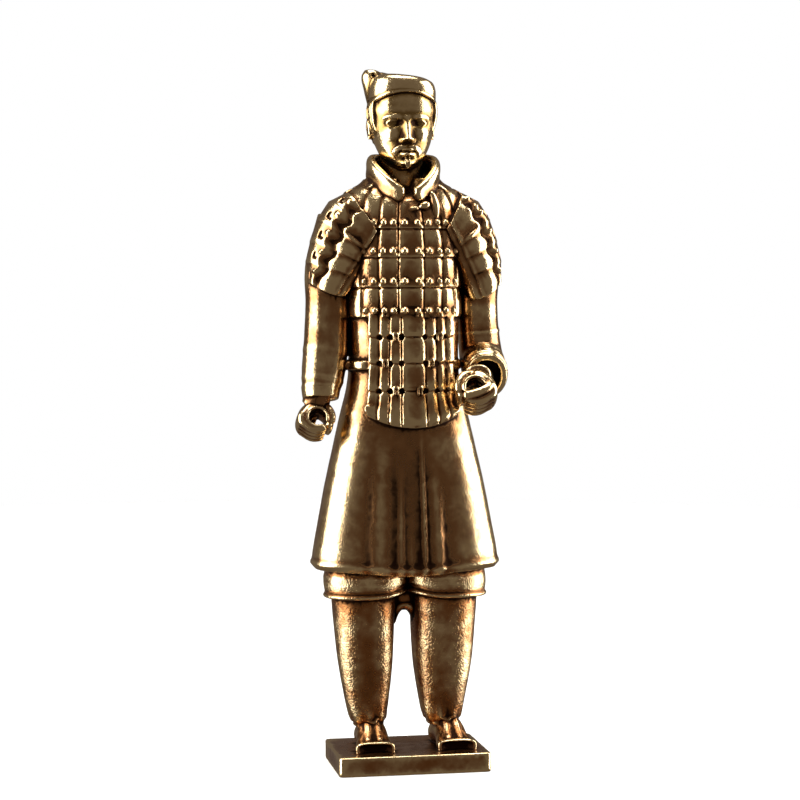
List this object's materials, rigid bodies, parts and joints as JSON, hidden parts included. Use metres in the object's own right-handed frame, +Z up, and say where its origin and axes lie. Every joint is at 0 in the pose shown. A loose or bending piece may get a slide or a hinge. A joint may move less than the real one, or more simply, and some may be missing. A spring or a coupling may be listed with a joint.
{
  "type": "armoured warrior figurine",
  "caption": "Small solid cast-brass figurine of a standing armoured warrior with a cap and topknot, closed fists, one arm bent, on a flat rectangular plinth.",
  "frame": {"origin": "middle of the plinth's underside", "axes": "+Z up through the figure, which faces -Y; +X is on the side of its bent arm"},
  "size_m": [0.0185, 0.0109, 0.06],
  "materials": {
    "cast_brass": "cast and antiqued: dark patina in the recesses, worn bright on the high places"
  },
  "bodies": {
    "root": {"warrior_figurine": "cast_brass"}
  },
  "joints": []
}
